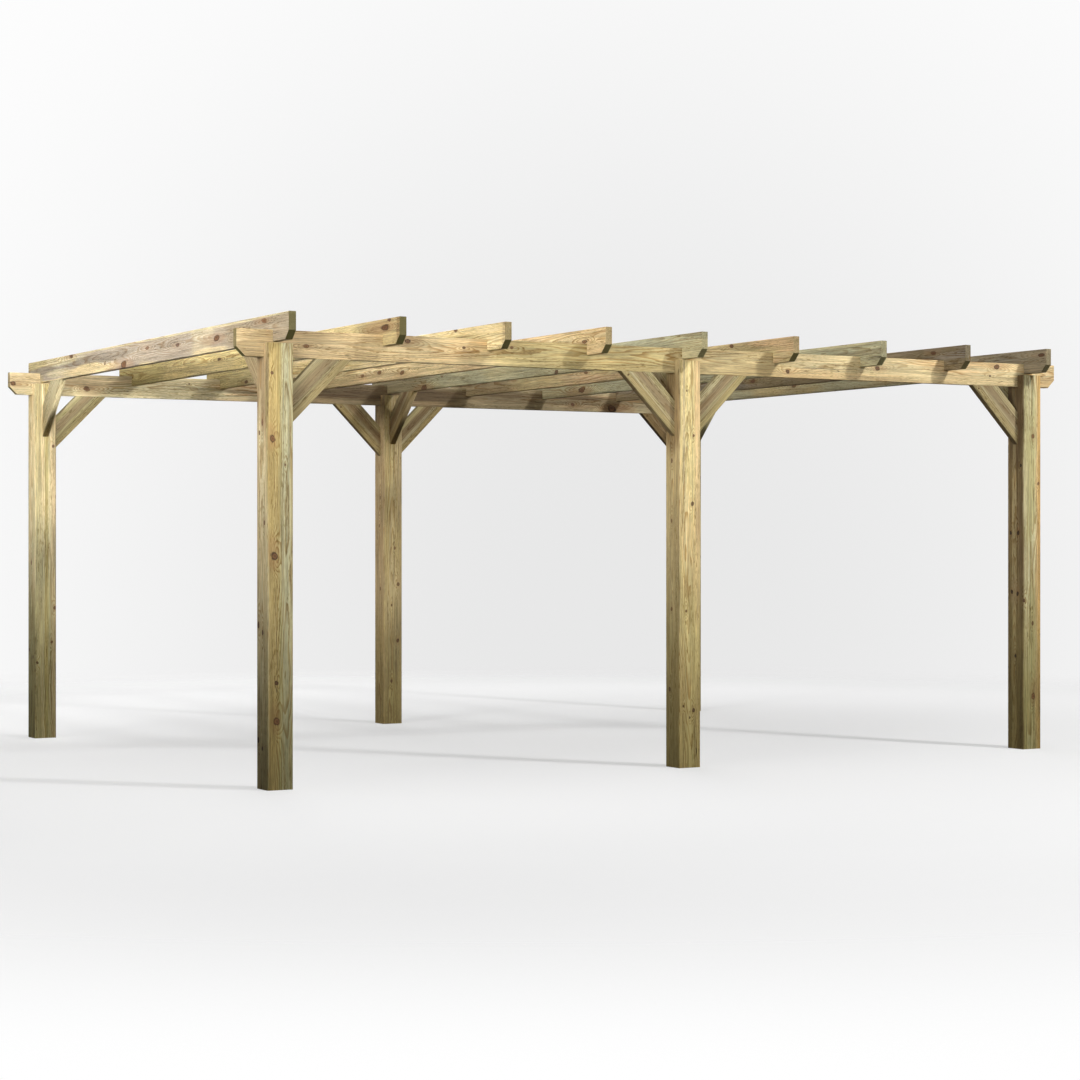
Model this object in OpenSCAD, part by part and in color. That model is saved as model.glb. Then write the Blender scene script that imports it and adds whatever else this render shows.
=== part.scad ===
// Garden pergola: two long beams held in forked posts, rafters notched over them, and straight braces.
// +X runs along the beams, +Y along the rafters and +Z up. The origin is on the ground, at the centre.

/* [Overall] */
// Length of each beam
beam_l = 5400; // [3600:50:7200]
// Length of each rafter
rafter_l = 4200; // [2700:50:5400]
// Height of the beams' underside above the ground
clear_h = 2205; // [1900:5:2700]

/* [Posts] */
// Side of the square posts
post_w = 140; // [100:5:200]
// Gap left between the top of a post and the rafter above it
post_top_gap = 10; // [2:1:20]

/* [Beams] */
// Thickness of a beam
beam_t = 40; // [30:1:55]
// Height of a beam
beam_h = 140; // [110:5:200]
// How far the beams run past the outer posts' faces
beam_overhang = 150; // [50:5:400]
// Leg of the 45 degree cut under each beam end
beam_cut = 48; // [0:1:60]

/* [Rafters] */
// How many rafters there are: an odd number puts one on the middle posts
rafter_count = 9; // [5:2:13]
// Thickness of a rafter
rafter_t = 40; // [30:1:55]
// Height of a rafter
rafter_h = 140; // [100:5:200]
// How far the rafters run past the outer faces of the posts
rafter_overhang = 150; // [50:5:400]
// How deep each rafter is notched over a beam
notch_depth = 60; // [20:1:75]
// Leg of the 45 degree cut under each rafter end
rafter_cut = 45; // [0:1:60]

/* [Braces] */
// Width of a brace's board
brace_w = 140; // [90:5:150]
// Thickness of a brace
brace_t = 40; // [25:1:55]
// How far a brace reaches along the post, and along the timber above it
brace_leg = 350; // [280:5:600]

/* [Fits] */
// Clearance on each side of a beam in a post's slot
slot_gap = 1; // [0.5:0.5:3]
// Clearance on each side of a beam in a rafter's notch
notch_gap = 1; // [0.5:0.5:3]

/* [Hidden] */
ROWS = ["front", "back"];
PLACES = ["left", "middle", "right"];
// Each brace along a beam: its name, the post it stands on and the way it leans
BEAM_BRACES = [["left", 0, 1], ["middle_left", 1, -1], ["middle_right", 1, 1], ["right", 2, -1]];

// How far the outer posts' centres stand from the middle
post_x = beam_l / 2 - beam_overhang - post_w / 2;
post_y = rafter_l / 2 - rafter_overhang - post_w / 2;

// Levels, from the ground up
rafter_z = clear_h + beam_h - notch_depth;
post_h = rafter_z - post_top_gap;

// Distance from one rafter to the next
rafter_pitch = 2 * post_x / (rafter_count - 1);

// How far a cutting tool runs past the face that it cuts
past = 1;

function row_y(row) = row == 0 ? -post_y : post_y;
function place_x(place) = (place - 1) * post_x;

// A square post, forked at the top to hold the beam
module post() {
    slot_w = beam_t + 2 * slot_gap;
    color("#bfa878")
    difference() {
        translate([-post_w / 2, -post_w / 2, 0])
            cube([post_w, post_w, post_h]);
        translate([-post_w / 2 - past, -slot_w / 2, clear_h])
            cube([post_w + 2 * past, slot_w, post_h - clear_h + past]);
    }
}

// A board's side outline, lying along X from its middle, with both lower end corners cut away
module cut_board(length, height, cut) {
    polygon([
        [-length / 2, height], [-length / 2, cut], [-length / 2 + cut, 0],
        [length / 2 - cut, 0], [length / 2, cut], [length / 2, height]
    ]);
}

// A beam, on edge in its row of posts
module beam() {
    color("#d2bd86")
    translate([0, beam_t / 2, clear_h])
    rotate([90, 0, 0])
        linear_extrude(beam_t)
            cut_board(beam_l, beam_h, beam_cut);
}

// A rafter, on edge across both beams and notched over them
module rafter() {
    notch_w = beam_t + 2 * notch_gap;
    color("#b7a57a")
    translate([-rafter_t / 2, 0, rafter_z])
    rotate([90, 0, 90])
        linear_extrude(rafter_t)
            difference() {
                cut_board(rafter_l, rafter_h, rafter_cut);
                for (y = [-post_y, post_y])
                    translate([y - notch_w / 2, -past])
                        square([notch_w, notch_depth + past]);
            }
}

// A brace in the corner at the origin: the post is behind it, the timber that it props is above
module brace() {
    inner_leg = brace_leg - brace_w * sqrt(2);
    color("#ada070")
    translate([0, brace_t / 2, 0])
    rotate([90, 0, 0])
        linear_extrude(brace_t)
            polygon([[0, -brace_leg], [brace_leg, 0], [inner_leg, 0], [0, -inner_leg]]);
}

// A brace from a post up to the beam, leaning the way that lean says
module beam_brace(lean) {
    translate([lean * post_w / 2, 0, clear_h])
        mirror([lean < 0 ? 1 : 0, 0, 0])
            brace();
}

// A brace from a post of either row, inwards and up to the rafter above it
module cross_brace(row) {
    translate([0, row_y(row), rafter_z])
    rotate([0, 0, row == 0 ? 90 : -90])
        translate([post_w / 2, 0, 0])
            brace();
}

for (r = [0:1], p = [0:2])
    translate([place_x(p), row_y(r), 0]) post();

for (r = [0:1])
    translate([0, row_y(r), 0]) beam();

for (i = [1:rafter_count])
    translate([-post_x + (i - 1) * rafter_pitch, 0, 0]) rafter();

for (r = [0:1], brace = BEAM_BRACES)
    translate([place_x(brace[1]), row_y(r), 0]) beam_brace(brace[2]);

for (r = [0:1], p = [0:2])
    translate([place_x(p), 0, 0]) cross_brace(r);
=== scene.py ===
"""A free-standing garden pergola in planed, pressure-treated pine."""
import math

import bmesh
import bpy
from mathutils import Matrix, Vector


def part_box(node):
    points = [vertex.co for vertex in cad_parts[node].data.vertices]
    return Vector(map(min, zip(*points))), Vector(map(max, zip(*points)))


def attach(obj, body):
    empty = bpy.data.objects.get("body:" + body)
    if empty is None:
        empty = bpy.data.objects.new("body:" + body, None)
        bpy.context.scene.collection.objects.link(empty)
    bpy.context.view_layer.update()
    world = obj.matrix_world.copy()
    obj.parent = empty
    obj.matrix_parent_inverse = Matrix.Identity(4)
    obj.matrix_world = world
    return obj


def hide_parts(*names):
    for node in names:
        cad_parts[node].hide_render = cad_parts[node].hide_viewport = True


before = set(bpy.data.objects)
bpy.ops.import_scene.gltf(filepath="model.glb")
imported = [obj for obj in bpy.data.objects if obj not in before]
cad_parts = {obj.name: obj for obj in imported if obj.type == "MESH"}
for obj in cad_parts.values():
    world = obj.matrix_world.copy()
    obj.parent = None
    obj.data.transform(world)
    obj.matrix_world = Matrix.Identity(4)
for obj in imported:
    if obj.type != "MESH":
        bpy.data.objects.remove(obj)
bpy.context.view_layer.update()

# ---------------------------------------------------------------- the maker's sizes, in metres

ARRIS = 0.003            # radius of the planed long edges
ARRIS_STEPS = 4
POST_ARRIS = 0.005
FIT_GAP = 0.001          # clearance on each side of a beam in a slot or notch
BEAM_CUT = 0.048         # leg of the 45 degree cut under a beam's end
RAFTER_CUT = 0.045
BRACE_WIDTH = 0.140
BLADE = 0.02             # how far a cutter runs past what it cuts
THROUGH = 2.0            # a cutter is this many times as thick as the timber
SIN_45 = math.sqrt(0.5)

ACROSS_GRAIN = 0.3       # a face turned this far towards the board's length is cut across the grain
SQUARE_END = 0.9         # turned this far, it is a square end and not a slanted cut
SLANT_SHADE = 1.9        # how much darker a slanted cut is than a square end: painted shade, as the slant faces down


# ---------------------------------------------------------------- node trees, written as sums

class Flow:
    """One output of a node. A sum written with it adds the Math nodes that work it out."""

    def __init__(self, bench, node, socket=None):
        self.bench, self.node = bench, node
        self.socket = socket or next((s for s in node.outputs if s.enabled), None)

    def __getitem__(self, name):
        return Flow(self.bench, self.node, next(s for s in self.node.outputs if s.enabled and s.name == name))

    def __add__(self, other):
        return self.bench.math("ADD", self, other)

    def __sub__(self, other):
        return self.bench.math("SUBTRACT", self, other)

    def __rsub__(self, other):
        return self.bench.math("SUBTRACT", other, self)

    def __mul__(self, other):
        return self.bench.math("MULTIPLY", self, other)

    def __truediv__(self, other):
        return self.bench.math("DIVIDE", self, other)

    def __rtruediv__(self, other):
        return self.bench.math("DIVIDE", other, self)

    __radd__, __rmul__ = __add__, __mul__


class Bench:
    """A node tree with the few ways that this script adds to it."""

    def __init__(self, tree):
        self.tree = tree

    def add(self, kind, settings=None, sockets=()):
        """Adds a node: its settings first, then its sockets, by name or in their order."""
        node = self.tree.nodes.new(kind)
        for name, value in (settings or {}).items():
            setattr(node, name, value)
        inputs = [s for s in node.inputs if s.enabled]
        if isinstance(sockets, dict):
            pairs = [(next(s for s in inputs if s.name == name), value) for name, value in sockets.items()]
        else:
            pairs = list(zip(inputs, sockets))
        for socket, value in pairs:
            for one in value if isinstance(value, list) else [value]:
                if isinstance(one, Flow):
                    self.tree.links.new(one.socket, socket)
                elif one is not None:
                    socket.default_value = one
        return Flow(self, node)

    def math(self, operation, *values):
        return self.add("ShaderNodeMath", {"operation": operation}, values)

    def vector(self, operation, *values):
        return self.add("ShaderNodeVectorMath", {"operation": operation}, values)

    def ease(self, value, low, high, start=0.0, end=1.0):
        """Goes softly from start to end while value goes from low to high."""
        settings = {"interpolation_type": "SMOOTHSTEP"}
        return self.add("ShaderNodeMapRange", settings, (value, low, high, start, end))

    def blend(self, amount, first, second, how="MIX"):
        """Mixes two colours."""
        return self.add("ShaderNodeMix", {"data_type": "RGBA", "blend_type": how}, (amount, first, second))

    def between(self, amount, first, second):
        """Mixes two numbers."""
        return self.add("ShaderNodeMix", {"data_type": "FLOAT"}, (amount, first, second))

    def noise(self, place, stretch, shift, detail=2.0, roughness=0.5):
        """Noise whose grain is stretch cells a metre along each axis."""
        moved = self.vector("ADD", self.vector("MULTIPLY", place, stretch), shift)
        return self.add("ShaderNodeTexNoise", None,
                        {"Vector": moved, "Scale": 1.0, "Detail": detail, "Roughness": roughness})


def new_tree(name, kind, inputs, outputs):
    """A node group with named inputs and outputs. Returns its bench and its inputs."""
    tree = bpy.data.node_groups.new(name, kind)
    for label, socket in inputs:
        tree.interface.new_socket(label, in_out="INPUT", socket_type="NodeSocket" + socket)
    for label, socket in outputs:
        tree.interface.new_socket(label, in_out="OUTPUT", socket_type="NodeSocket" + socket)
    bench = Bench(tree)
    return bench, bench.add("NodeGroupInput")


# ---------------------------------------------------------------- cutting the timber

def finish_timber(bench, solid, along, material):
    """Marks a solid with its place in the board and its sawn faces, and ends the tree."""
    place = bench.add("GeometryNodeInputPosition")
    x, y, z = (bench.add("ShaderNodeSeparateXYZ", None, [place])[axis] for axis in "XYZ")
    grain = bench.add("ShaderNodeCombineXYZ", None, [z, x, y] if along == "Z" else [x, z, y])
    marked = bench.add("GeometryNodeStoreNamedAttribute", {"data_type": "FLOAT_VECTOR", "domain": "POINT"},
                       {"Geometry": solid, "Name": "grain", "Value": grain})
    facing = bench.add("ShaderNodeSeparateXYZ", None, [bench.add("GeometryNodeInputNormal")])[along]
    across_grain = bench.math("ABSOLUTE", facing)
    cut_through = bench.math("GREATER_THAN", across_grain, ACROSS_GRAIN)
    square_end = bench.math("GREATER_THAN", across_grain, SQUARE_END)
    # a slanted cut's extra darkness is painted shade
    sawn = cut_through * SLANT_SHADE - square_end * (SLANT_SHADE - 1.0)
    marked = bench.add("GeometryNodeStoreNamedAttribute", {"data_type": "FLOAT", "domain": "FACE"},
                       {"Geometry": marked, "Name": "sawn", "Value": sawn})
    whole = bench.add("GeometryNodeRealizeInstances", None, [marked])
    dressed = bench.add("GeometryNodeSetMaterial", None, {"Geometry": whole, "Material": material})
    bench.add("NodeGroupOutput", None, [dressed])


def planed_stick(bench, width, height, arris, start, end):
    """A straight length of timber with rounded long edges and square ends."""
    outline = bench.add("GeometryNodeCurvePrimitiveQuadrilateral", None, {"Width": width, "Height": height})
    eased = bench.add("GeometryNodeFilletCurve", {"mode": "POLY"},
                      {"Curve": outline, "Count": ARRIS_STEPS, "Radius": arris})
    run = bench.add("GeometryNodeCurvePrimitiveLine", None, {"Start": start, "End": end})
    return bench.add("GeometryNodeCurveToMesh", None,
                     {"Curve": run, "Profile Curve": eased, "Fill Caps": True})


def cutter(bench, size, place, turn=(0, 0, 0)):
    """A block to be cut away."""
    cube = bench.add("GeometryNodeMeshCube", None, {"Size": size})
    return bench.add("GeometryNodeTransform", None,
                     {"Geometry": cube, "Translation": place, "Rotation": turn})


def cut(bench, solid, cutters):
    """Cuts the blocks out of the solid."""
    return bench.add("GeometryNodeMeshBoolean", {"operation": "DIFFERENCE", "solver": "EXACT"},
                     {"Mesh 1": solid, "Mesh 2": cutters})


def xyz(bench, x, y, z):
    """A place or a size from three numbers."""
    return bench.add("ShaderNodeCombineXYZ", None, [x, y, z])


def board_tree():
    """A board on edge along X, centred: both lower end corners are cut away, and it may be notched below."""
    bench, board = new_tree(
        "planed_board", "GeometryNodeTree",
        [("Length", "Float"), ("Thickness", "Float"), ("Height", "Float"), ("Arris", "Float"),
         ("End Cut", "Float"), ("Notched", "Bool"), ("Notch Place", "Float"), ("Notch Width", "Float"),
         ("Notch Depth", "Float"), ("Timber", "Material")],
        [("Board", "Geometry")])
    length, height, thick, leg = board["Length"], board["Height"], board["Thickness"], board["End Cut"]
    stick = planed_stick(bench, thick, height, board["Arris"],
                         xyz(bench, length * -0.5, 0.0, 0.0), xyz(bench, length * 0.5, 0.0, 0.0))
    # a cube turned 45 degrees, with one face through the cut
    side = leg * 2.0 + BLADE
    out = side * (0.5 * SIN_45)
    ends, notches = [], []
    for way in (-1.0, 1.0):
        place = xyz(bench, (length * 0.5 - leg * 0.5 + out) * way, 0.0, leg * 0.5 - height * 0.5 - out)
        size = xyz(bench, side, thick * THROUGH, side)
        ends.append(cutter(bench, size, place, (0, math.radians(45), 0)))
        place = xyz(bench, board["Notch Place"] * way, 0.0, height * -0.5)
        size = xyz(bench, board["Notch Width"], thick * THROUGH, board["Notch Depth"] * 2.0)
        notches.append(cutter(bench, size, place))
    shaped = cut(bench, stick, ends)
    notched = cut(bench, shaped, notches)
    solid = bench.add("GeometryNodeSwitch", {"input_type": "GEOMETRY"}, [board["Notched"], shaped, notched])
    finish_timber(bench, solid, "X", board["Timber"])
    return bench.tree


def post_tree():
    """A square post standing on the origin, forked at the top by a slot along X."""
    bench, post = new_tree(
        "forked_post", "GeometryNodeTree",
        [("Height", "Float"), ("Side", "Float"), ("Arris", "Float"), ("Slot Width", "Float"),
         ("Slot Depth", "Float"), ("Timber", "Material")],
        [("Post", "Geometry")])
    side, height = post["Side"], post["Height"]
    stick = planed_stick(bench, side, side, post["Arris"], (0, 0, 0), xyz(bench, 0.0, 0.0, height))
    size = xyz(bench, side * THROUGH, post["Slot Width"], post["Slot Depth"] * 2.0)
    slot = cutter(bench, size, xyz(bench, 0.0, 0.0, height))
    finish_timber(bench, cut(bench, stick, [slot]), "Z", post["Timber"])
    return bench.tree


def make_timber(name, tree, sizes, place):
    """Runs a tree with these inputs, keeps its mesh and puts it in its place."""
    mesh = bpy.data.meshes.new(name)
    maker = bpy.data.objects.new(name + "_maker", mesh)
    bpy.context.scene.collection.objects.link(maker)
    modifier = maker.modifiers.new("timber", "NODES")
    modifier.node_group = tree
    for item in tree.interface.items_tree:
        if item.in_out == "INPUT":
            modifier[item.identifier] = sizes[item.name]
    graph = bpy.context.evaluated_depsgraph_get()
    made = bpy.data.meshes.new_from_object(maker.evaluated_get(graph))
    maker.modifiers.remove(modifier)
    bpy.data.objects.remove(maker)
    bpy.data.meshes.remove(mesh)
    made.name = name
    made.transform(place)
    piece = bpy.data.objects.new(name, made)
    bpy.context.scene.collection.objects.link(piece)
    return piece


# ---------------------------------------------------------------- the pine

def paint(red, green, blue):
    """A colour given as 0 to 255 on a screen, by the screen's own curve."""
    light = [((c / 255 + 0.055) / 1.055) ** 2.4 if c > 10 else c / 3294 for c in (red, green, blue)]
    return (*light, 1.0)


def grey(level):
    return paint(level, level, level)


TONES = {
    "cream": paint(228, 210, 164),
    "butter": paint(226, 208, 149),
    "ivory": paint(214, 202, 162),
    "straw": paint(210, 191, 140),
    "peach": paint(220, 192, 146),
    "honey": paint(206, 168, 104),
    "flax": paint(190, 172, 126),
    "olive": paint(180, 165, 110),
    "moss": paint(178, 170, 122),
    "sage": paint(194, 187, 148),
    "tan": paint(202, 178, 132),
    "rose": paint(202, 176, 136),
    "mauve": paint(176, 161, 136),
    "ash": paint(176, 164, 146),
    "slate": paint(140, 130, 114),
    "fawn": paint(178, 156, 118),
    "pewter": paint(176, 172, 140),
    "drab": paint(142, 126, 94),
    "umber": paint(124, 98, 62),
    "sepia": paint(96, 78, 54),
}
LATEWOOD = paint(204, 176, 136)      # multiplies the wood between its growth rings
FLECK = paint(158, 146, 112)         # multiplies the wood in its short dark flecks
CHECK_DARK = paint(52, 42, 28)
END_GRAIN = paint(86, 80, 43)
PAINTED_FOOT_SHADE = paint(198, 197, 180)          # painted shade: multiplies the wood towards a post's foot
KNOT_PALE = paint(150, 104, 64)
KNOT_DARK = paint(80, 48, 28)
KNOT_RIM = paint(48, 32, 22)

# how fine each pattern of the wood is: cells a metre along the grain, and across it twice
CELLS = {
    "drift": (0.7, 0.0, 0.0),
    "warp": (2.2, 16.0, 16.0),
    "cloud": (1.3, 9.0, 9.0),
    "patch": (1.7, 20.0, 20.0),
    "blotch": (2.5, 10.0, 10.0),
    "streak": (2.0, 64.0, 64.0),
    "line": (5.0, 150.0, 150.0),
    "split": (1.1, 42.0, 42.0),
    "fleck": (24.0, 240.0, 240.0),
    "fibre": (24.0, 900.0, 900.0),
    "bark": (26.0, 70.0, 70.0),
}
MIDDLE = 0.5                         # noise lies on both sides of this

# a knot, in its own radii from the branch's axis
KNOT_EDGE = (1.0, 0.78)              # it fades into the wood from the first to the second
RIM_INSIDE, RIM_OUTSIDE = (0.52, 0.88), (1.14, 0.92)
SWELL_SPAN = (3.2, 0.4)              # the growth rings bend around it from the first to the second
SWELL_PUSH = 1.4                     # how far out they are pushed
SWELL_LENS = (0.4, 1.0, 1.0)         # the bend is longer along the grain
THINNEST, THICKEST = 0.12, 1.35      # a branch's girth, as parts of its girth at the show face
BRANCH_RISE = 0.018                  # how far a branch has risen from its root to the face, in metres
KNOT_RAGGED = 1.1
KNOT_RINGS = 2.6                     # growth rings in a knot's radius
KNOT_STREAKS = (0.4, 0.6, 1.0, 0.6)  # streaks make parts of a knot paler
KNOT_RING_SPAN, KNOT_CORE_SPAN, KNOT_SHADE = (0.35, 0.9), (0.4, 0.1), 0.5
DEAD_SPAN = (1.0, 1.5)               # a knot darker than 1 is dead wood
KNOT_COVER = 0.92
RIM_STREAKS, RIM_DARKNESS = (0.3, 0.55), (0.6, 0.35)     # the second: with the knot's tone, and without it

# the rings, the heartwood and the sapwood, in metres or in years
PITH_WANDER = (0.0, 0.09, 0.07)
RING_WAVER, YEAR_WAVER = 0.016, 0.8
LATE_START, LATE_STOP = (0.3, 0.9), (1.0, 0.93)      # the dark part of a year
HEART_EDGE, HEART_RAGGED = (0.006, -0.006), 0.05
GREEN_SPAN, GREEN_RAGGED = (0.42, 0.62), 0.5
RING_STRENGTH = (0.32, 0.66, 0.3, 0.85)              # from faint to strong as the cloud thickens

# flecks, checks and stains
FLECK_SPAN, FLECK_PATCH, FLECK_LATE, FLECK_DEPTH = (0.56, 0.68), (0.38, 0.58), 0.08, 0.8
CHECK_SPAN, CHECK_PATCH, CHECK_DEPTH = (0.007, 0.002), (0.58, 0.64), 0.7
STAIN_SPAN, STAIN_RAGGED, STAIN_DEPTH = (0.006, 0.018), 0.01, 0.3
WASH_EDGE, WASH_RAGGED = (1.25, 0.75), 1.2           # a wash fades out between these parts of its reach
FOOT_SHADE_TOP, FOOT_SHADE_RAGGED, FOOT_SHADE_CURVE = 1.7, 0.15, 1.5   # how high the painted shade at a post's foot reaches, in metres

SHADE = {"streak": 1.5, "line": 0.8, "fleck": 0.9, "fibre": 0.26}
ROUGHNESS = {"plain": 0.72, "late": -0.08, "fibre": 0.2, "knot": -0.12, "sawn": 0.12}
RELIEF = {"late": 0.0002, "fibre": 0.00012, "knot": 0.0004, "check": -0.0012, "rim": -0.0003}    # metres
SHEEN = 0.3                          # the specular level of dry planed pine
SEED_STEPS = (7.31, 3.77, 5.13)      # these keep one timber's patterns clear of the next one's


def knot_tree():
    """A branch that grows out from the pith as a cone. It passes on what the branches before it left."""
    bench, knot = new_tree(
        "branch_knot", "ShaderNodeTree",
        [("Grain", "Vector"), ("Root", "Vector"), ("Branch", "Vector"), ("Reach", "Float"),
         ("Radius", "Float"), ("Darkness", "Float"), ("Wobble", "Float"), ("Swell", "Float"),
         ("Knot", "Float"), ("Rim", "Float"), ("Tone", "Float"), ("Core", "Float")],
        [("Swell", "Float"), ("Knot", "Float"), ("Rim", "Float"), ("Tone", "Float"), ("Core", "Float")])
    away = bench.vector("SUBTRACT", knot["Grain"], knot["Root"])
    along = bench.vector("DOT_PRODUCT", away, knot["Branch"])
    axis = bench.add("ShaderNodeVectorMath", {"operation": "SCALE"},
                     {"Vector": knot["Branch"], "Scale": along})
    off_axis = bench.vector("SUBTRACT", away, axis)
    off = bench.vector("LENGTH", off_axis)
    lens = bench.vector("LENGTH", bench.vector("MULTIPLY", off_axis, SWELL_LENS))
    grown = bench.math("MINIMUM", bench.math("MAXIMUM", along / knot["Reach"], THINNEST), THICKEST)
    radius = knot["Radius"] * grown
    ratio = off / radius + knot["Wobble"]
    mask = bench.ease(ratio, *KNOT_EDGE)
    rim = bench.ease(ratio, *RIM_INSIDE) * bench.ease(ratio, *RIM_OUTSIDE)
    swell = bench.ease(lens / radius, *SWELL_SPAN) * radius * SWELL_PUSH
    bench.add("NodeGroupOutput", None, [
        bench.math("MAXIMUM", knot["Swell"], swell),
        bench.math("MAXIMUM", knot["Knot"], mask),
        bench.math("MAXIMUM", knot["Rim"], rim),
        bench.between(mask, knot["Tone"], knot["Darkness"]),
        bench.between(mask, knot["Core"], ratio),
    ])
    return bench.tree


def pine_tree():
    """Pine cut from a log: growth rings around the pith, heartwood in sapwood, flecks, checks and fibres."""
    bench, pine = new_tree(
        "treated_pine", "ShaderNodeTree",
        [("Grain", "Vector"), ("Pith", "Vector"), ("Seed", "Vector"), ("Ring", "Float"), ("Heart", "Float"),
         ("Figure", "Float"), ("Sap", "Color"), ("Green", "Color"), ("Heartwood", "Color"),
         ("Swell", "Float"), ("Knot", "Float"), ("Rim", "Float"), ("Tone", "Float"), ("Core", "Float"),
         ("Sawn", "Float"), ("Damp", "Float")],
        [("Colour", "Color"), ("Roughness", "Float"), ("Height", "Float")])
    grain, seed, figure = pine["Grain"], pine["Seed"], pine["Figure"]

    # the pith wanders, so a flat face cuts the rings in long pointed arches
    drift = bench.noise(grain, CELLS["drift"], seed, 1.0)["Color"]
    drift = bench.vector("MULTIPLY", bench.vector("SUBTRACT", drift, (MIDDLE,) * 3), PITH_WANDER)
    from_pith = bench.vector("SUBTRACT", bench.vector("SUBTRACT", grain, pine["Pith"]), drift)
    warp = bench.noise(grain, CELLS["warp"], seed, 2.0) - MIDDLE
    across = bench.vector("MULTIPLY", from_pith, (0.0, 1.0, 1.0))
    age = bench.vector("LENGTH", across) + warp * RING_WAVER - pine["Swell"]
    year = bench.math("FRACT", age / pine["Ring"] + warp * YEAR_WAVER)
    late = bench.ease(year, *LATE_START) * bench.ease(year, *LATE_STOP)
    streak = bench.noise(grain, CELLS["streak"], seed, 4.0, 0.68)
    fibre = bench.noise(grain, CELLS["fibre"], seed, 1.0)
    cloud = bench.noise(grain, CELLS["cloud"], seed, 2.0)
    heart = bench.ease(age + (streak - MIDDLE) * HEART_RAGGED - pine["Heart"], *HEART_EDGE)
    greened = bench.ease(cloud + (streak - MIDDLE) * GREEN_RAGGED, *GREEN_SPAN)
    sap = bench.blend(greened, pine["Sap"], pine["Green"])
    wood = bench.blend(heart, sap, pine["Heartwood"])
    wood = bench.blend(late * bench.ease(cloud, *RING_STRENGTH) * figure, wood, LATEWOOD, "MULTIPLY")

    # short dark flecks, thickest where the rings lie nearly flat in the face
    fleck = bench.noise(grain, CELLS["fleck"], seed, 1.0)
    patch = bench.noise(grain, CELLS["patch"], bench.vector("ADD", seed, (3.0, 8.0, 5.0)), 1.0)
    speck = (fleck - MIDDLE) * SHADE["fleck"]
    fleck = bench.ease(fleck + late * FLECK_LATE, *FLECK_SPAN) * bench.ease(patch, *FLECK_PATCH)
    wood = bench.blend(fleck * FLECK_DEPTH, wood, FLECK, "MULTIPLY")
    line = bench.noise(grain, CELLS["line"], bench.vector("ADD", seed, (1.0, 6.0, 3.0)), 1.0)
    streaks = (streak - MIDDLE) * SHADE["streak"] + (line - MIDDLE) * SHADE["line"] + speck
    shade = streaks * figure + (fibre - MIDDLE) * SHADE["fibre"] + 1.0
    shaded = bench.add("ShaderNodeCombineColor", None, [shade, shade, shade])
    wood = bench.blend(1.0, wood, shaded, "MULTIPLY")

    # drying checks: thin dark lines along the grain
    split = bench.noise(grain, CELLS["split"], bench.vector("ADD", seed, (9.0, 4.0, 2.0)), 1.0)
    check = bench.ease(bench.math("ABSOLUTE", split - MIDDLE), *CHECK_SPAN) * bench.ease(patch, *CHECK_PATCH)
    wood = bench.blend(check * CHECK_DEPTH, wood, CHECK_DARK)

    # knots, with their own rings and a dark rim
    rings = bench.math("FRACT", pine["Core"] * KNOT_RINGS)
    inside = bench.blend(pine["Tone"] * bench.ease(streak, *KNOT_STREAKS), KNOT_PALE, KNOT_DARK)
    inside = bench.blend(bench.ease(rings, *KNOT_RING_SPAN) * KNOT_SHADE, inside, KNOT_RIM)
    inside = bench.blend(bench.ease(pine["Core"], *KNOT_CORE_SPAN) * KNOT_SHADE, inside, KNOT_RIM)
    inside = bench.blend(bench.ease(pine["Tone"], *DEAD_SPAN), inside, CHECK_DARK)
    stained = bench.ease(pine["Swell"] + (streak - MIDDLE) * STAIN_RAGGED, *STAIN_SPAN) * STAIN_DEPTH
    wood = bench.blend(stained, wood, KNOT_PALE)
    wood = bench.blend(pine["Knot"] * KNOT_COVER, wood, inside)
    darkness = pine["Tone"] * RIM_DARKNESS[0] + RIM_DARKNESS[1]
    rim = pine["Rim"] * bench.ease(streak, *RIM_STREAKS) * darkness
    wood = bench.blend(rim, wood, KNOT_RIM)

    # painted shade: a post's wood darkens towards its foot
    wood = bench.blend(pine["Damp"], wood, PAINTED_FOOT_SHADE, "MULTIPLY")
    # sawn ends drink more of the preservative; slanted cuts, which face down, are darker still as painted
    # shade
    wood = bench.blend(pine["Sawn"], wood, END_GRAIN)
    rough = (late * ROUGHNESS["late"] + (fibre - MIDDLE) * ROUGHNESS["fibre"]
             + pine["Knot"] * ROUGHNESS["knot"] + pine["Sawn"] * ROUGHNESS["sawn"] + ROUGHNESS["plain"])
    height = (late * RELIEF["late"] + fibre * RELIEF["fibre"] + pine["Knot"] * RELIEF["knot"]
              + check * RELIEF["check"] + pine["Rim"] * RELIEF["rim"])
    bench.add("NodeGroupOutput", None, [wood, rough, height])
    return bench.tree


def wash(bench, grain, wobble, colours, spot):
    """Washes the wood's colours with another tone around one place in the board."""
    place, reach, tone, strength = spot
    far = bench.vector("DIVIDE", bench.vector("SUBTRACT", grain, place), reach)
    mask = bench.ease(bench.vector("LENGTH", far) + wobble, *WASH_EDGE) * strength
    return [bench.blend(mask, colour, TONES[tone]) for colour in colours]


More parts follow.
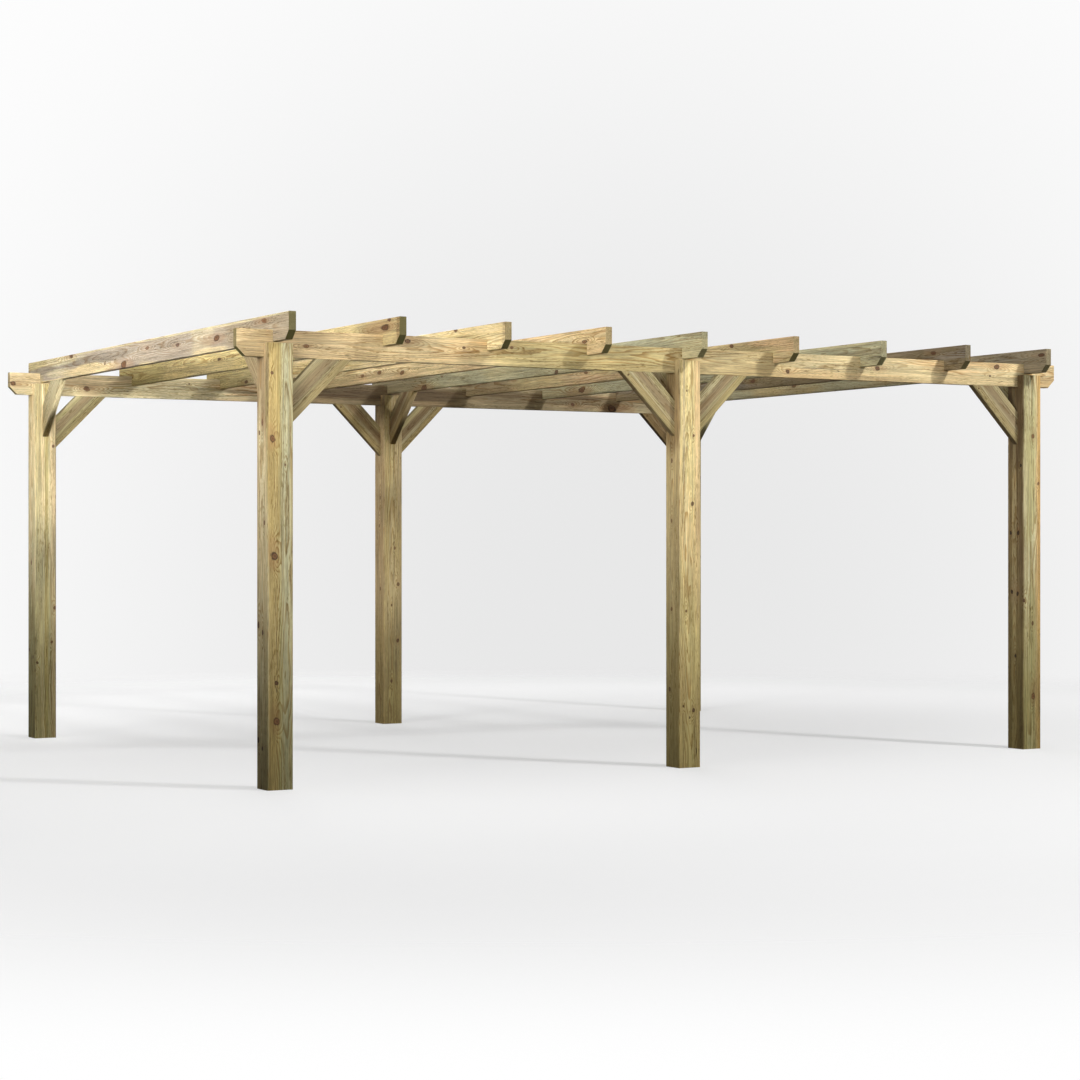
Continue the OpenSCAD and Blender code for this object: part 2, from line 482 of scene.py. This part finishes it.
def pine_material(name, log):
    """The pine of one timber, as its log describes it."""
    material = bpy.data.materials.new(name)
    material.use_nodes = True
    tree = material.node_tree
    tree.nodes.clear()
    bench = Bench(tree)
    grain = bench.add("ShaderNodeAttribute", {"attribute_name": "grain"})["Vector"]
    sawn = bench.add("ShaderNodeAttribute", {"attribute_name": "sawn"})["Fac"] * log["end"]
    seed = tuple(log["seed"] * step for step in SEED_STEPS)
    pith = Vector((0.0, *log["pith"]))
    ragged = (bench.noise(grain, CELLS["bark"], seed, 3.0, 0.6) - MIDDLE) * KNOT_RAGGED
    # a saw cuts the branches at a slant, so a knot is longer along the grain than it is wide
    slant = 1.0 / log["slant"]
    squeezed = bench.vector("MULTIPLY", grain, (slant, 1.0, 1.0))
    passed = {"Swell": 0.0, "Knot": 0.0, "Rim": 0.0, "Tone": 0.5, "Core": 0.0}
    for along, across, deep, radius, darkness in log["knots"]:
        root = Vector((along * slant - BRANCH_RISE, pith.y, pith.z))
        branch = Vector((along * slant, across, deep)) - root
        knot = bench.add("ShaderNodeGroup", {"node_tree": KNOT}, {
            "Grain": squeezed, "Root": root, "Branch": branch.normalized(), "Reach": branch.length,
            "Radius": radius, "Darkness": darkness, "Wobble": ragged, **passed})
        passed = {key: knot[key] for key in passed}
    colours = [TONES[log[key]] for key in ("sap", "green", "heartwood")]
    blotch = bench.noise(grain, CELLS["blotch"], seed, 2.0) - MIDDLE
    foot_shade = 0.0
    # painted shade: posts darken towards the foot
    if name.startswith("post"):
        height = bench.add("ShaderNodeSeparateXYZ", None, [grain])["X"]
        foot_shade = bench.math("POWER", bench.ease(height + blotch * FOOT_SHADE_RAGGED, FOOT_SHADE_TOP, 0.0), FOOT_SHADE_CURVE)
    for spot in log["washes"]:
        colours = wash(bench, grain, blotch * WASH_RAGGED, colours, spot)
    wood = bench.add("ShaderNodeGroup", {"node_tree": PINE}, {
        "Grain": grain, "Pith": pith, "Seed": seed, "Ring": log["ring"], "Heart": log["heart"],
        "Figure": log["figure"], "Sap": colours[0], "Green": colours[1], "Heartwood": colours[2],
        "Sawn": sawn, "Damp": foot_shade, **passed})
    raised = bench.add("ShaderNodeBump", None, {"Strength": 1.0, "Distance": 1.0, "Height": wood["Height"]})
    shader = bench.add("ShaderNodeBsdfPrincipled", None, {
        "Base Color": wood["Colour"], "Roughness": wood["Roughness"], "Normal": raised,
        "Specular IOR Level": SHEEN})
    bench.add("ShaderNodeOutputMaterial", None, [shader])
    return material


# ---------------------------------------------------------------- each timber's own log

ALL = 1000.0             # a wash that reaches this far covers that direction
POST_FACE = -0.07        # a post's left and front faces, from its middle
RAFTER_FACE, BEAM_FACE, BRACE_FACE = 0.02, -0.02, -0.02
SKIN = 0.012             # how deep a wash over one face goes


def log(seed, sap, green, heartwood, pith, heart=0.0, ring=0.005, knots=(), washes=(), end=0.45,
        slant=1.4, figure=1.0):
    """One timber's log. Its pith and heart are in metres, and its ring is a year's growth.

    End says how dark its sawn ends are, slant how drawn out its knots are and figure how strong its grain is.
    """
    return {"seed": seed, "sap": sap, "green": green, "heartwood": heartwood, "pith": pith, "heart": heart,
            "ring": ring, "knots": list(knots), "washes": list(washes), "end": end, "slant": slant,
            "figure": figure}


def rafter_log(*wood, **marks):
    """A rafter's log. Its knots are drawn out along the grain."""
    return log(*wood, slant=2.6, **marks)


def on_face(deep, *spots):
    """Knots on a board's show face: place along and across, radius and darkness."""
    return [(along, across, deep, radius, dark) for along, across, radius, dark in spots]


def on_left(*spots):
    """Knots on a post's left face: height, place across, radius and darkness."""
    return [(height, POST_FACE, across, radius, dark) for height, across, radius, dark in spots]


def on_front(*spots):
    """Knots on a post's front face, given in the same way."""
    return [(height, across, POST_FACE, radius, dark) for height, across, radius, dark in spots]


def band(along, reach, tone, strength, across=0.0, width=ALL):
    """A wash of another tone over a stretch of a board."""
    return ((along, across, 0.0), (reach, width, ALL), tone, strength)


def left_side(tone, strength, across=0.0, width=0.09, along=0.0, reach=ALL):
    """A wash over a post's left face."""
    return ((along, POST_FACE, across), (reach, SKIN, width), tone, strength)


def front_side(tone, strength, across=0.0, width=0.09, along=0.0, reach=ALL):
    """A wash over a post's front face."""
    return ((along, across, POST_FACE), (reach, width, SKIN), tone, strength)


LOGS = {
    "post_front_left": log(
        1.0, "olive", "moss", "fawn", (0.03, 0.015),
        knots=on_left((1.87, 0.0, 0.012, 0.5), (1.82, 0.037, 0.009, 0.6), (1.36, -0.025, 0.010, 0.6),
                      (0.835, 0.05, 0.012, 0.9), (0.80, -0.004, 0.010, 1.0), (0.25, 0.05, 0.011, 1.0),
                      (0.21, 0.0, 0.009, 1.0))
        + on_front((1.785, -0.042, 0.013, 0.5), (1.19, -0.032, 0.015, 0.8), (0.545, -0.02, 0.008, 1.0),
                   (0.35, -0.021, 0.014, 0.2), (2.12, -0.046, 0.006, 0.7), (1.655, 0.026, 0.005, 0.7)),
        washes=[left_side("rose", 0.95, 0.03, 0.08), front_side("honey", 0.3, -0.04, 0.035),
                front_side("sage", 0.75, 0.04, 0.036), front_side("pewter", 0.5, 0.03, 0.02),
                # painted shadow: the next two drab washes darken the top of the front face's left edge and of
                # the left face
                front_side("drab", 0.5, -0.07, 0.006, 2.1, 0.5),
                left_side("drab", 0.6, 0.0, 0.09, 2.1, 0.3),
                left_side("ivory", 0.85, 0.0, 0.09, 0.5, 1.3)]),
    "post_front_middle": log(
        2.0, "butter", "straw", "tan", (-0.01, 0.012), ring=0.0042,
        knots=on_left((1.715, 0.006, 0.009, 0.6), (1.38, 0.01, 0.008, 0.5), (0.885, 0.01, 0.009, 0.4),
                      (0.435, 0.03, 0.009, 0.7))
        + on_front((1.475, 0.016, 0.010, 0.8), (0.32, 0.025, 0.009, 0.8), (0.345, -0.042, 0.005, 0.9),
                   (0.28, 0.0, 0.005, 1.0), (0.875, -0.025, 0.007, 0.5), (1.855, 0.025, 0.006, 0.5),
                   (2.105, -0.02, 0.005, 0.5)),
        washes=[left_side("flax", 1.0), front_side("peach", 0.6, 0.055, 0.025, 1.9, 1.0),
                front_side("mauve", 0.5, -0.04, 0.008, 2.1, 0.5),
                # painted shadow: the umber wash darkens the top of the left face, where the brace shades it
                left_side("umber", 0.7, 0.0, 0.09, 2.0, 0.25),
                band(0.0, 1.0, "olive", 0.35)]),
    "post_front_right": log(
        3.0, "moss", "sage", "umber", (0.0, 0.01),
        knots=on_left((1.315, 0.04, 0.008, 1.6), (1.315, -0.025, 0.010, 1.6), (0.955, 0.03, 0.009, 1.6),
                      (0.945, -0.02, 0.010, 1.6), (0.565, 0.0, 0.008, 1.6), (1.725, -0.05, 0.007, 1.6))
        + on_front((1.905, 0.01, 0.011, 0.5), (1.615, 0.05, 0.007, 0.3), (0.905, -0.06, 0.008, 1.0),
                   (0.765, 0.005, 0.009, 0.7), (0.32, 0.01, 0.015, 0.2)),
        washes=[left_side("umber", 0.8), left_side("straw", 0.6, 0.01, 0.02),
                left_side("sepia", 0.35, -0.07, 0.03),
                # painted shadow: the first sepia wash here darkens the top of the left face, where brace and
                # beam shade it
                left_side("sepia", 0.7, 0.0, 0.09, 2.1, 0.4), left_side("fawn", 0.6, 0.01, 0.03, 0.95, 0.1),
                front_side("honey", 0.9, 0.07, 0.036), front_side("cream", 0.4, 0.035, 0.012),
                band(0.0, 0.9, "olive", 0.3)]),
    "post_back_left": log(
        4.0, "sage", "ivory", "sage", (0.01, 0.0),
        knots=on_left((1.125, 0.005, 0.011, 0.2), (0.565, 0.04, 0.009, 0.5), (0.52, -0.03, 0.009, 0.5))
        + on_front((1.875, 0.05, 0.007, 0.5), (0.835, 0.06, 0.008, 0.5), (0.615, 0.04, 0.008, 0.5),
                   (0.485, -0.055, 0.007, 1.0)),
        washes=[band(0.2, 0.8, "moss", 0.5), band(1.95, 0.7, "cream", 0.6),
                front_side("olive", 0.9, 0.006, 0.012),
                front_side("moss", 0.5, -0.05, 0.02), front_side("drab", 0.6, 0.075, 0.012),
                front_side("rose", 0.4, 0.05, 0.015)]),
    "post_back_middle": log(
        5.0, "flax", "olive", "fawn", (-0.01, 0.0),
        knots=on_left((1.565, -0.015, 0.008, 0.5), (1.37, 0.0, 0.008, 0.6), (0.935, -0.015, 0.009, 0.7))
        + on_front((1.215, 0.015, 0.007, 0.6), (0.965, 0.04, 0.009, 0.9), (0.82, -0.01, 0.007, 0.8),
                   (0.575, 0.035, 0.010, 0.9), (0.295, -0.01, 0.008, 0.8)),
        washes=[left_side("fawn", 0.9), band(0.0, 0.8, "olive", 0.3), front_side("drab", 0.45)]),
    "post_back_right": log(
        6.0, "flax", "olive", "fawn", (0.0, 0.01),
        knots=on_front((1.6, 0.02, 0.011, 0.6), (0.9, -0.03, 0.010, 0.8))),
    "beam_front": log(
        7.0, "cream", "peach", "rose", (0.01, 0.055),
        knots=on_face(BEAM_FACE, (-2.315, -0.007, 0.010, 0.1), (-1.735, 0.04, 0.013, 0.8),
                      (-1.40, 0.02, 0.007, 0.8),
                      (-1.11, 0.03, 0.008, 0.3), (0.70, -0.035, 0.010, 1.0), (1.345, 0.005, 0.013, 0.7),
                      (2.245, 0.045, 0.014, 0.9), (2.195, -0.012, 0.006, 0.9)),
        washes=[band(-2.4, 0.6, "rose", 0.9), band(-1.6, 0.5, "peach", 0.4),
                band(-0.55, 0.62, "olive", 0.95),
                band(0.25, 0.42, "flax", 0.9), band(0.0, ALL, "flax", 0.4)], end=0.75),
    "beam_back": log(
        8.0, "ivory", "rose", "drab", (0.012, 0.04), 0.066,
        knots=on_face(BEAM_FACE, (-2.68, 0.0, 0.013, 0.8), (-2.19, -0.02, 0.015, 0.5),
                      (-1.48, 0.033, 0.005, 0.7),
                      (1.47, -0.02, 0.010, 0.9), (1.80, -0.04, 0.022, 0.8)),
        washes=[band(-2.4, 1.1, "ivory", 1.0), band(-2.4, 0.6, "rose", 0.5, 0.03, 0.05),
                band(0.35, 1.25, "drab", 0.85), band(-0.1, 0.75, "sepia", 0.85, 0.01, 0.05),
                band(1.0, 0.9, "sepia", 0.6, 0.03, 0.02), band(2.4, 0.6, "drab", 0.6)]),
    "rafter_1": rafter_log(
        9.0, "cream", "ivory", "ash", (0.016, -0.05), 0.115,
        knots=on_face(RAFTER_FACE, (-1.79, 0.043, 0.012, 0.4), (-1.145, 0.002, 0.016, 0.7),
                      (-0.57, 0.005, 0.010, 0.9),
                      (-0.09, 0.02, 0.010, 0.3), (0.30, -0.048, 0.018, 0.5), (0.63, -0.027, 0.005, 0.6),
                      (1.25, 0.063, 0.013, 0.8)),
        washes=[band(-1.9, 0.6, "drab", 0.5), band(0.85, 0.65, "slate", 0.7, 0.012, 0.03),
                band(-0.93, 0.14, "ivory", 0.35), band(-1.05, 0.25, "cream", 0.7, -0.06, 0.016),
                band(0.0, ALL, "ivory", 0.7, 0.07, 0.012), band(0.95, 0.6, "cream", 0.9, -0.045, 0.034),
                band(1.75, 0.7, "ivory", 0.8, 0.04, 0.03), band(2.1, 0.3, "olive", 0.5),
                band(1.85, 0.4, "slate", 0.9, 0.0, 0.024), band(1.5, 0.25, "ivory", 0.6, -0.03, 0.03)],
        end=0.9),
    "rafter_2": rafter_log(
        10.0, "straw", "butter", "fawn", (0.02, -0.05), 0.045,
        knots=on_face(RAFTER_FACE, (-1.93, 0.025, 0.017, 0.9), (-1.98, 0.06, 0.008, 0.9),
                      (0.35, 0.005, 0.010, 0.9)),
        washes=[band(-2.0, 0.45, "drab", 0.6), band(2.0, 0.9, "olive", 0.8),
                band(-2.1, 0.03, "umber", 0.6)], end=0.9),
    "rafter_3": rafter_log(
        11.0, "cream", "straw", "tan", (-0.02, -0.05), 0.03,
        knots=on_face(RAFTER_FACE, (-1.54, 0.065, 0.008, 0.8), (1.41, -0.05, 0.011, 0.9)),
        washes=[band(2.1, 0.8, "olive", 0.7), band(-2.1, 0.03, "fawn", 0.6)], end=0.55),
    "rafter_4": rafter_log(
        12.0, "peach", "cream", "fawn", (0.03, -0.05), 0.045,
        knots=on_face(RAFTER_FACE, (-1.88, 0.005, 0.010, 0.6), (0.37, -0.03, 0.011, 0.4),
                      (0.70, -0.012, 0.011, 0.4),
                      (0.95, -0.02, 0.009, 0.1)),
        washes=[band(-2.1, 0.5, "tan", 0.6), band(1.9, 0.8, "flax", 0.7)], end=0.5),
    "rafter_5": rafter_log(
        13.0, "pewter", "sage", "mauve", (0.05, -0.05), 0.03,
        knots=on_face(RAFTER_FACE, (-0.49, -0.06, 0.008, 0.9), (1.29, -0.06, 0.015, 0.8),
                      (1.03, 0.002, 0.005, 0.4)),
        washes=[band(2.0, 0.8, "drab", 0.7)], end=0.4),
    "rafter_6": rafter_log(
        14.0, "flax", "rose", "fawn", (-0.02, -0.05), 0.04,
        knots=on_face(RAFTER_FACE, (-1.48, 0.055, 0.008, 0.7), (0.2, 0.0, 0.009, 0.5)),
        washes=[band(2.0, 0.9, "drab", 0.85)], end=0.5),
    "rafter_7": rafter_log(
        15.0, "pewter", "sage", "drab", (0.03, -0.055), 0.03,
        knots=on_face(RAFTER_FACE, (1.30, -0.03, 0.016, 0.7), (-0.3, 0.02, 0.010, 0.5)),
        washes=[band(-1.7, 0.5, "drab", 0.4, 0.01, 0.015), band(2.0, 0.8, "drab", 0.4)], end=0.4),
    "rafter_8": rafter_log(
        16.0, "drab", "slate", "umber", (0.0, -0.05), 0.05,
        knots=on_face(RAFTER_FACE, (-1.8, 0.04, 0.010, 0.7), (0.1, -0.02, 0.010, 0.7)), end=0.4),
    "rafter_9": rafter_log(
        17.0, "flax", "pewter", "fawn", (0.04, -0.05), 0.035,
        knots=on_face(RAFTER_FACE, (-2.06, 0.035, 0.010, 0.9), (0.5, -0.01, 0.010, 0.6)),
        washes=[band(-2.0, 0.6, "slate", 0.7)], end=0.4),
}


# each brace's wash of its own tone, partly painted light and shade: paler at the back-left corner, darker at
# the back middle and right under the roof
BRACE_TONES_AND_LIGHT = {
    "brace_back_left": ("cream", 0.2),
    "brace_back_middle_left": ("umber", 0.55),
    "brace_back_middle_right": ("umber", 0.35),
    "brace_back_right": ("umber", 0.85),
    "brace_front_left": ("drab", 0.55),
    "brace_front_middle_left": ("drab", 0.5),
    "brace_front_middle_right": ("drab", 0.35),
    "brace_front_right": ("drab", 0.6),
    "cross_brace_back_left": ("ivory", 0.85),
    "cross_brace_back_middle": ("umber", 0.6),
    "cross_brace_front_left": ("drab", 1.0),
    "cross_brace_front_middle": ("cream", 0.5),
}


def brace_log(node, seed):
    """A brace: pale green edges, a soft brown heartwood stripe, an olive band with a thin brown line, and
    painted shade along its lower edge.
    """
    # a whole-brace wash of its tone, partly painted light and shade
    tone, strength = BRACE_TONES_AND_LIGHT.get(node, ("drab", 0.0))
    # painted shade: a sepia strip along the lower edge, which faces down
    painted_underside_shade = 0.2 if node.startswith("cross") else 0.8
    return log(seed, "moss", "sage", "drab", (-0.005, 0.06),
               knots=on_face(BRACE_FACE, (0.20, 0.05, 0.005, 1.0)), slant=1.0,
               washes=[band(0.0, ALL, "drab", 1.0, -0.012, 0.026),
                       band(0.0, ALL, "umber", 0.4, -0.012, 0.010),
                       band(0.0, ALL, "olive", 0.9, 0.052, 0.02),
                       band(0.0, ALL, "umber", 0.5, 0.034, 0.003), band(0.0, ALL, tone, strength),
                       band(0.0, ALL, "sepia", painted_underside_shade, 0.074, 0.005)], end=0.75, figure=0.7)


# ---------------------------------------------------------------- the pieces

KNOT, PINE = knot_tree(), pine_tree()
BOARD, POST = board_tree(), post_tree()
front_beam_low, front_beam_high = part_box("beam_front")
beam_thick = front_beam_high.y - front_beam_low.y


def hand_over(piece, node):
    """Shows a finished timber in the place of its node."""
    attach(piece, "root")
    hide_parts(node)


def timber_pine(node):
    return pine_material(node + "_pine", LOGS[node])


def make_post(node):
    low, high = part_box(node)
    sizes = {"Height": high.z - low.z, "Side": high.x - low.x, "Arris": POST_ARRIS,
             "Slot Width": beam_thick + 2 * FIT_GAP, "Slot Depth": high.z - front_beam_low.z,
             "Timber": timber_pine(node)}
    foot = Vector(((low.x + high.x) / 2, (low.y + high.y) / 2, low.z))
    hand_over(make_timber(node + "_timber", POST, sizes, Matrix.Translation(foot)), node)


def board_sizes(length, thick, height, leg, material, notch=(0.0, 0.0, 0.0)):
    """A board's inputs. The notch is its place from the middle, its width and its depth."""
    return {"Length": length, "Thickness": thick, "Height": height, "Arris": ARRIS, "End Cut": leg,
            "Notched": notch[2] > 0, "Notch Place": notch[0], "Notch Width": notch[1],
            "Notch Depth": notch[2], "Timber": material}


def make_beam(node):
    low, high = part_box(node)
    size = high - low
    sizes = board_sizes(size.x, size.y, size.z, BEAM_CUT, timber_pine(node))
    place = Matrix.Translation((low + high) / 2)
    hand_over(make_timber(node + "_timber", BOARD, sizes, place), node)


def make_rafter(node):
    low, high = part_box(node)
    size = high - low
    row = -(front_beam_low.y + front_beam_high.y) / 2
    notch = (row, beam_thick + 2 * FIT_GAP, front_beam_high.z - low.z)
    sizes = board_sizes(size.y, size.x, size.z, RAFTER_CUT, timber_pine(node), notch)
    place = Matrix.Translation((low + high) / 2) @ Matrix.Rotation(math.radians(90), 4, "Z")
    hand_over(make_timber(node + "_timber", BOARD, sizes, place), node)


def make_brace(node, turn, thick, seed):
    """A brace that leans away from its post in the direction that turn gives, in degrees about Z."""
    low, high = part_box(node)
    leg = high.z - low.z
    pine = pine_material(node + "_pine", brace_log(node, seed))
    sizes = board_sizes(leg * math.sqrt(2), thick, BRACE_WIDTH, BRACE_WIDTH, pine)
    # the board's long edge faces down and away from the post
    half = SIN_45
    lean = Matrix(((half, 0, half, 0), (0, -1, 0, 0), (half, 0, -half, 0), (0, 0, 0, 1)))
    middle = Vector((leg / 2, 0, -leg / 2)) - Vector((half, 0, -half)) * BRACE_WIDTH / 2
    swing = Matrix.Rotation(math.radians(turn), 4, "Z")
    away = swing @ Vector((1, 0, 0))
    corner = (low + high) / 2 - away * leg / 2
    corner.z = high.z
    place = Matrix.Translation(corner) @ swing @ Matrix.Translation(middle) @ lean
    hand_over(make_timber(node + "_timber", BOARD, sizes, place), node)


RAFTERS = 9
BRACE_SEED = 20.0        # the braces' seeds count on from here
SIDES = ("left", "middle", "right")
# the way each brace along a beam leans, in degrees about Z
BEAM_BRACES = (("left", 0), ("middle_left", 180), ("middle_right", 0), ("right", 180))

for row in ("front", "back"):
    make_beam(f"beam_{row}")
    for side in SIDES:
        make_post(f"post_{row}_{side}")
for number in range(1, RAFTERS + 1):
    make_rafter(f"rafter_{number}")
brace_low, brace_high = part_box("brace_front_left")
brace_thick = brace_high.y - brace_low.y
brace_number = 0
for row, inwards in (("front", 90), ("back", -90)):
    ways = [(f"brace_{row}_{side}", turn) for side, turn in BEAM_BRACES]
    ways += [(f"cross_brace_{row}_{side}", inwards) for side in SIDES]
    for node, turn in ways:
        brace_number += 1
        make_brace(node, turn, brace_thick, BRACE_SEED + brace_number)


# ---------------------------------------------------------------- floor, light and camera

FLOOR_RADIUS, FLOOR_SIDES = 12.0, 96
FLOOR_FADE = (5.5, 9.5)                      # metres from the middle: the floor melts into the backdrop
FLOOR_SHADE = (1.0, 0.4, 0.0)                # where the floor is greyest: painted shade under and around the timber
FLOOR_SHADE_SPAN = (0.6, 5.4)                # metres from there: the floor gets paler
NEAR_SIDE, NEAR_SPAN, NEAR_DEPTH = (1.0, -2.0, 0.0), (3.0, 9.0), 0.6     # a little greyer towards the front: painted shade
BEHIND, BEHIND_SPAN = (-1.0, 1.0, 0.0), (3.0, 7.0)                       # and paler towards the back
BACKDROP_CENTRE = (0.522, 0.852, -0.033)     # the direction in which the backdrop is greyest
BACKDROP_SPAN = (0.03, 0.37)
BELOW_HORIZON = (-0.1, -0.215)               # the backdrop turns white as the view looks down
OVERHEAD = (-0.1, 0.9)                       # the soft light gets stronger as it comes from higher up

# each lamp's name, place, aim, width and height, watts, and spread in degrees
LAMPS = (
    ("key_softbox", (6.0, -11.2, 9.3), (0.0, -0.5, 1.2), (1.1, 1.1), 1320.0, 180.0),
    ("front_softbox", (1.0, -9.0, 8.5), (0.0, 0.0, 1.5), (6.0, 4.0), 110.0, 180.0),
    ("overhead_softbox", (0.5, 2.5, 7.0), (0.0, 0.0, 0.0), (4.0, 4.0), 110.0, 180.0),
    ("front_strip", (2.5, -13.0, 3.2), (0.2, 0.0, 2.3), (12.0, 1.2), 22.0, 30.0),
    ("left_strip", (-9.8, -4.0, 3.0), (-1.6, 1.0, 2.1), (9.0, 1.2), 68.0, 34.0),
    ("roof_softbox", (-8.0, -3.5, 4.8), (0.5, 0.6, 2.4), (2.5, 1.2), 34.0, 42.0),
    ("corner_spot", (-7.0, -7.5, 2.7), (-2.25, 1.9, 2.2), (0.5, 0.5), 3.4, 13.0),
    ("back_softbox", (4.0, 13.0, 2.2), (0.5, 0.0, 1.5), (5.0, 1.6), 70.0, 50.0),
)

CAMERA_PLACE = (-7.457, -13.390, 1.272)
CAMERA_HEADING = -0.51632                    # radians about Z, from looking along +Y
LENS_MM, SENSOR_MM, FARTHEST = 81.34, 36.0, 300.0


def seen_or_lit(bench, seen, lit):
    """What the camera sees, and what only lights the timber."""
    direct = bench.add("ShaderNodeLightPath")["Is Camera Ray"]
    return bench.add("ShaderNodeMixShader", None, [direct, lit, seen])


def make_floor():
    shape = bmesh.new()
    bmesh.ops.create_circle(shape, cap_ends=True, segments=FLOOR_SIDES, radius=FLOOR_RADIUS)
    mesh = bpy.data.meshes.new("studio_floor")
    shape.to_mesh(mesh)
    shape.free()
    floor = bpy.data.objects.new("studio_floor", mesh)
    bpy.context.scene.collection.objects.link(floor)
    material = bpy.data.materials.new("studio_floor_paint")
    material.use_nodes = True
    material.node_tree.nodes.clear()
    bench = Bench(material.node_tree)
    place = bench.add("ShaderNodeTexCoord")["Object"]
    far = bench.vector("LENGTH", place)
    off = bench.vector("LENGTH", bench.vector("SUBTRACT", place, FLOOR_SHADE))
    tone = bench.blend(bench.ease(off, *FLOOR_SHADE_SPAN), grey(152), grey(197))
    near = bench.ease(bench.vector("DOT_PRODUCT", place, NEAR_SIDE), *NEAR_SPAN)
    tone = bench.blend(near * NEAR_DEPTH, tone, grey(178))
    behind = bench.ease(bench.vector("DOT_PRODUCT", place, BEHIND), *BEHIND_SPAN)
    # painted light: the floor glows for the camera, with its greyer patches as painted shade
    glow = bench.add("ShaderNodeEmission", None, [bench.blend(behind, tone, grey(212)), 1.0])
    paintwork = bench.add("ShaderNodeBsdfDiffuse", None, [grey(172)])
    lit = bench.add("ShaderNodeBsdfDiffuse", None, [paint(84, 82, 78)])
    floor_shade = seen_or_lit(bench, bench.add("ShaderNodeAddShader", None, [glow, paintwork]), lit)
    clear = bench.add("ShaderNodeBsdfTransparent")
    faded = bench.add("ShaderNodeMixShader", None, [bench.ease(far, *FLOOR_FADE), floor_shade, clear])
    bench.add("ShaderNodeOutputMaterial", None, [faded])
    mesh.materials.append(material)


def make_world():
    world = bpy.data.worlds.new("studio")
    bpy.context.scene.world = world
    world.use_nodes = True
    world.node_tree.nodes.clear()
    bench = Bench(world.node_tree)
    way = bench.add("ShaderNodeTexCoord")["Generated"]
    up = bench.add("ShaderNodeSeparateXYZ", None, [way])["Z"]
    off = bench.vector("LENGTH", bench.vector("SUBTRACT", way, BACKDROP_CENTRE))
    wall = bench.blend(bench.ease(off, *BACKDROP_SPAN), grey(232), grey(253))
    wall = bench.blend(bench.ease(up, *BELOW_HORIZON), wall, grey(255))
    seen = bench.add("ShaderNodeBackground", None, {"Color": wall, "Strength": 1.0})
    soft = bench.blend(bench.ease(up, *OVERHEAD), grey(104), grey(150))
    lit = bench.add("ShaderNodeBackground", None, {"Color": soft, "Strength": 1.0})
    bench.add("ShaderNodeOutputWorld", None, [seen_or_lit(bench, seen, lit)])


def make_lamp(name, place, aim, size, power, spread):
    """A rectangular lamp. A grid on its front may narrow the spread of its light."""
    lamp = bpy.data.lights.new(name, "AREA")
    lamp.shape = "RECTANGLE"
    lamp.size, lamp.size_y = size
    lamp.energy = power
    lamp.spread = math.radians(spread)
    holder = bpy.data.objects.new(name, lamp)
    holder.location = place
    holder.rotation_euler = (Vector(aim) - Vector(place)).to_track_quat("-Z", "Y").to_euler()
    holder.visible_camera = False
    bpy.context.scene.collection.objects.link(holder)


def make_camera():
    lens = bpy.data.cameras.new("view")
    lens.sensor_width, lens.lens, lens.clip_end = SENSOR_MM, LENS_MM, FARTHEST
    camera = bpy.data.objects.new("view", lens)
    camera.location = CAMERA_PLACE
    camera.rotation_euler = (math.radians(90), 0, CAMERA_HEADING)
    bpy.context.scene.collection.objects.link(camera)
    bpy.context.scene.camera = camera


make_floor()
make_world()
for lamp in LAMPS:
    make_lamp(*lamp)
make_camera()
bpy.context.scene.view_settings.view_transform = "Standard"
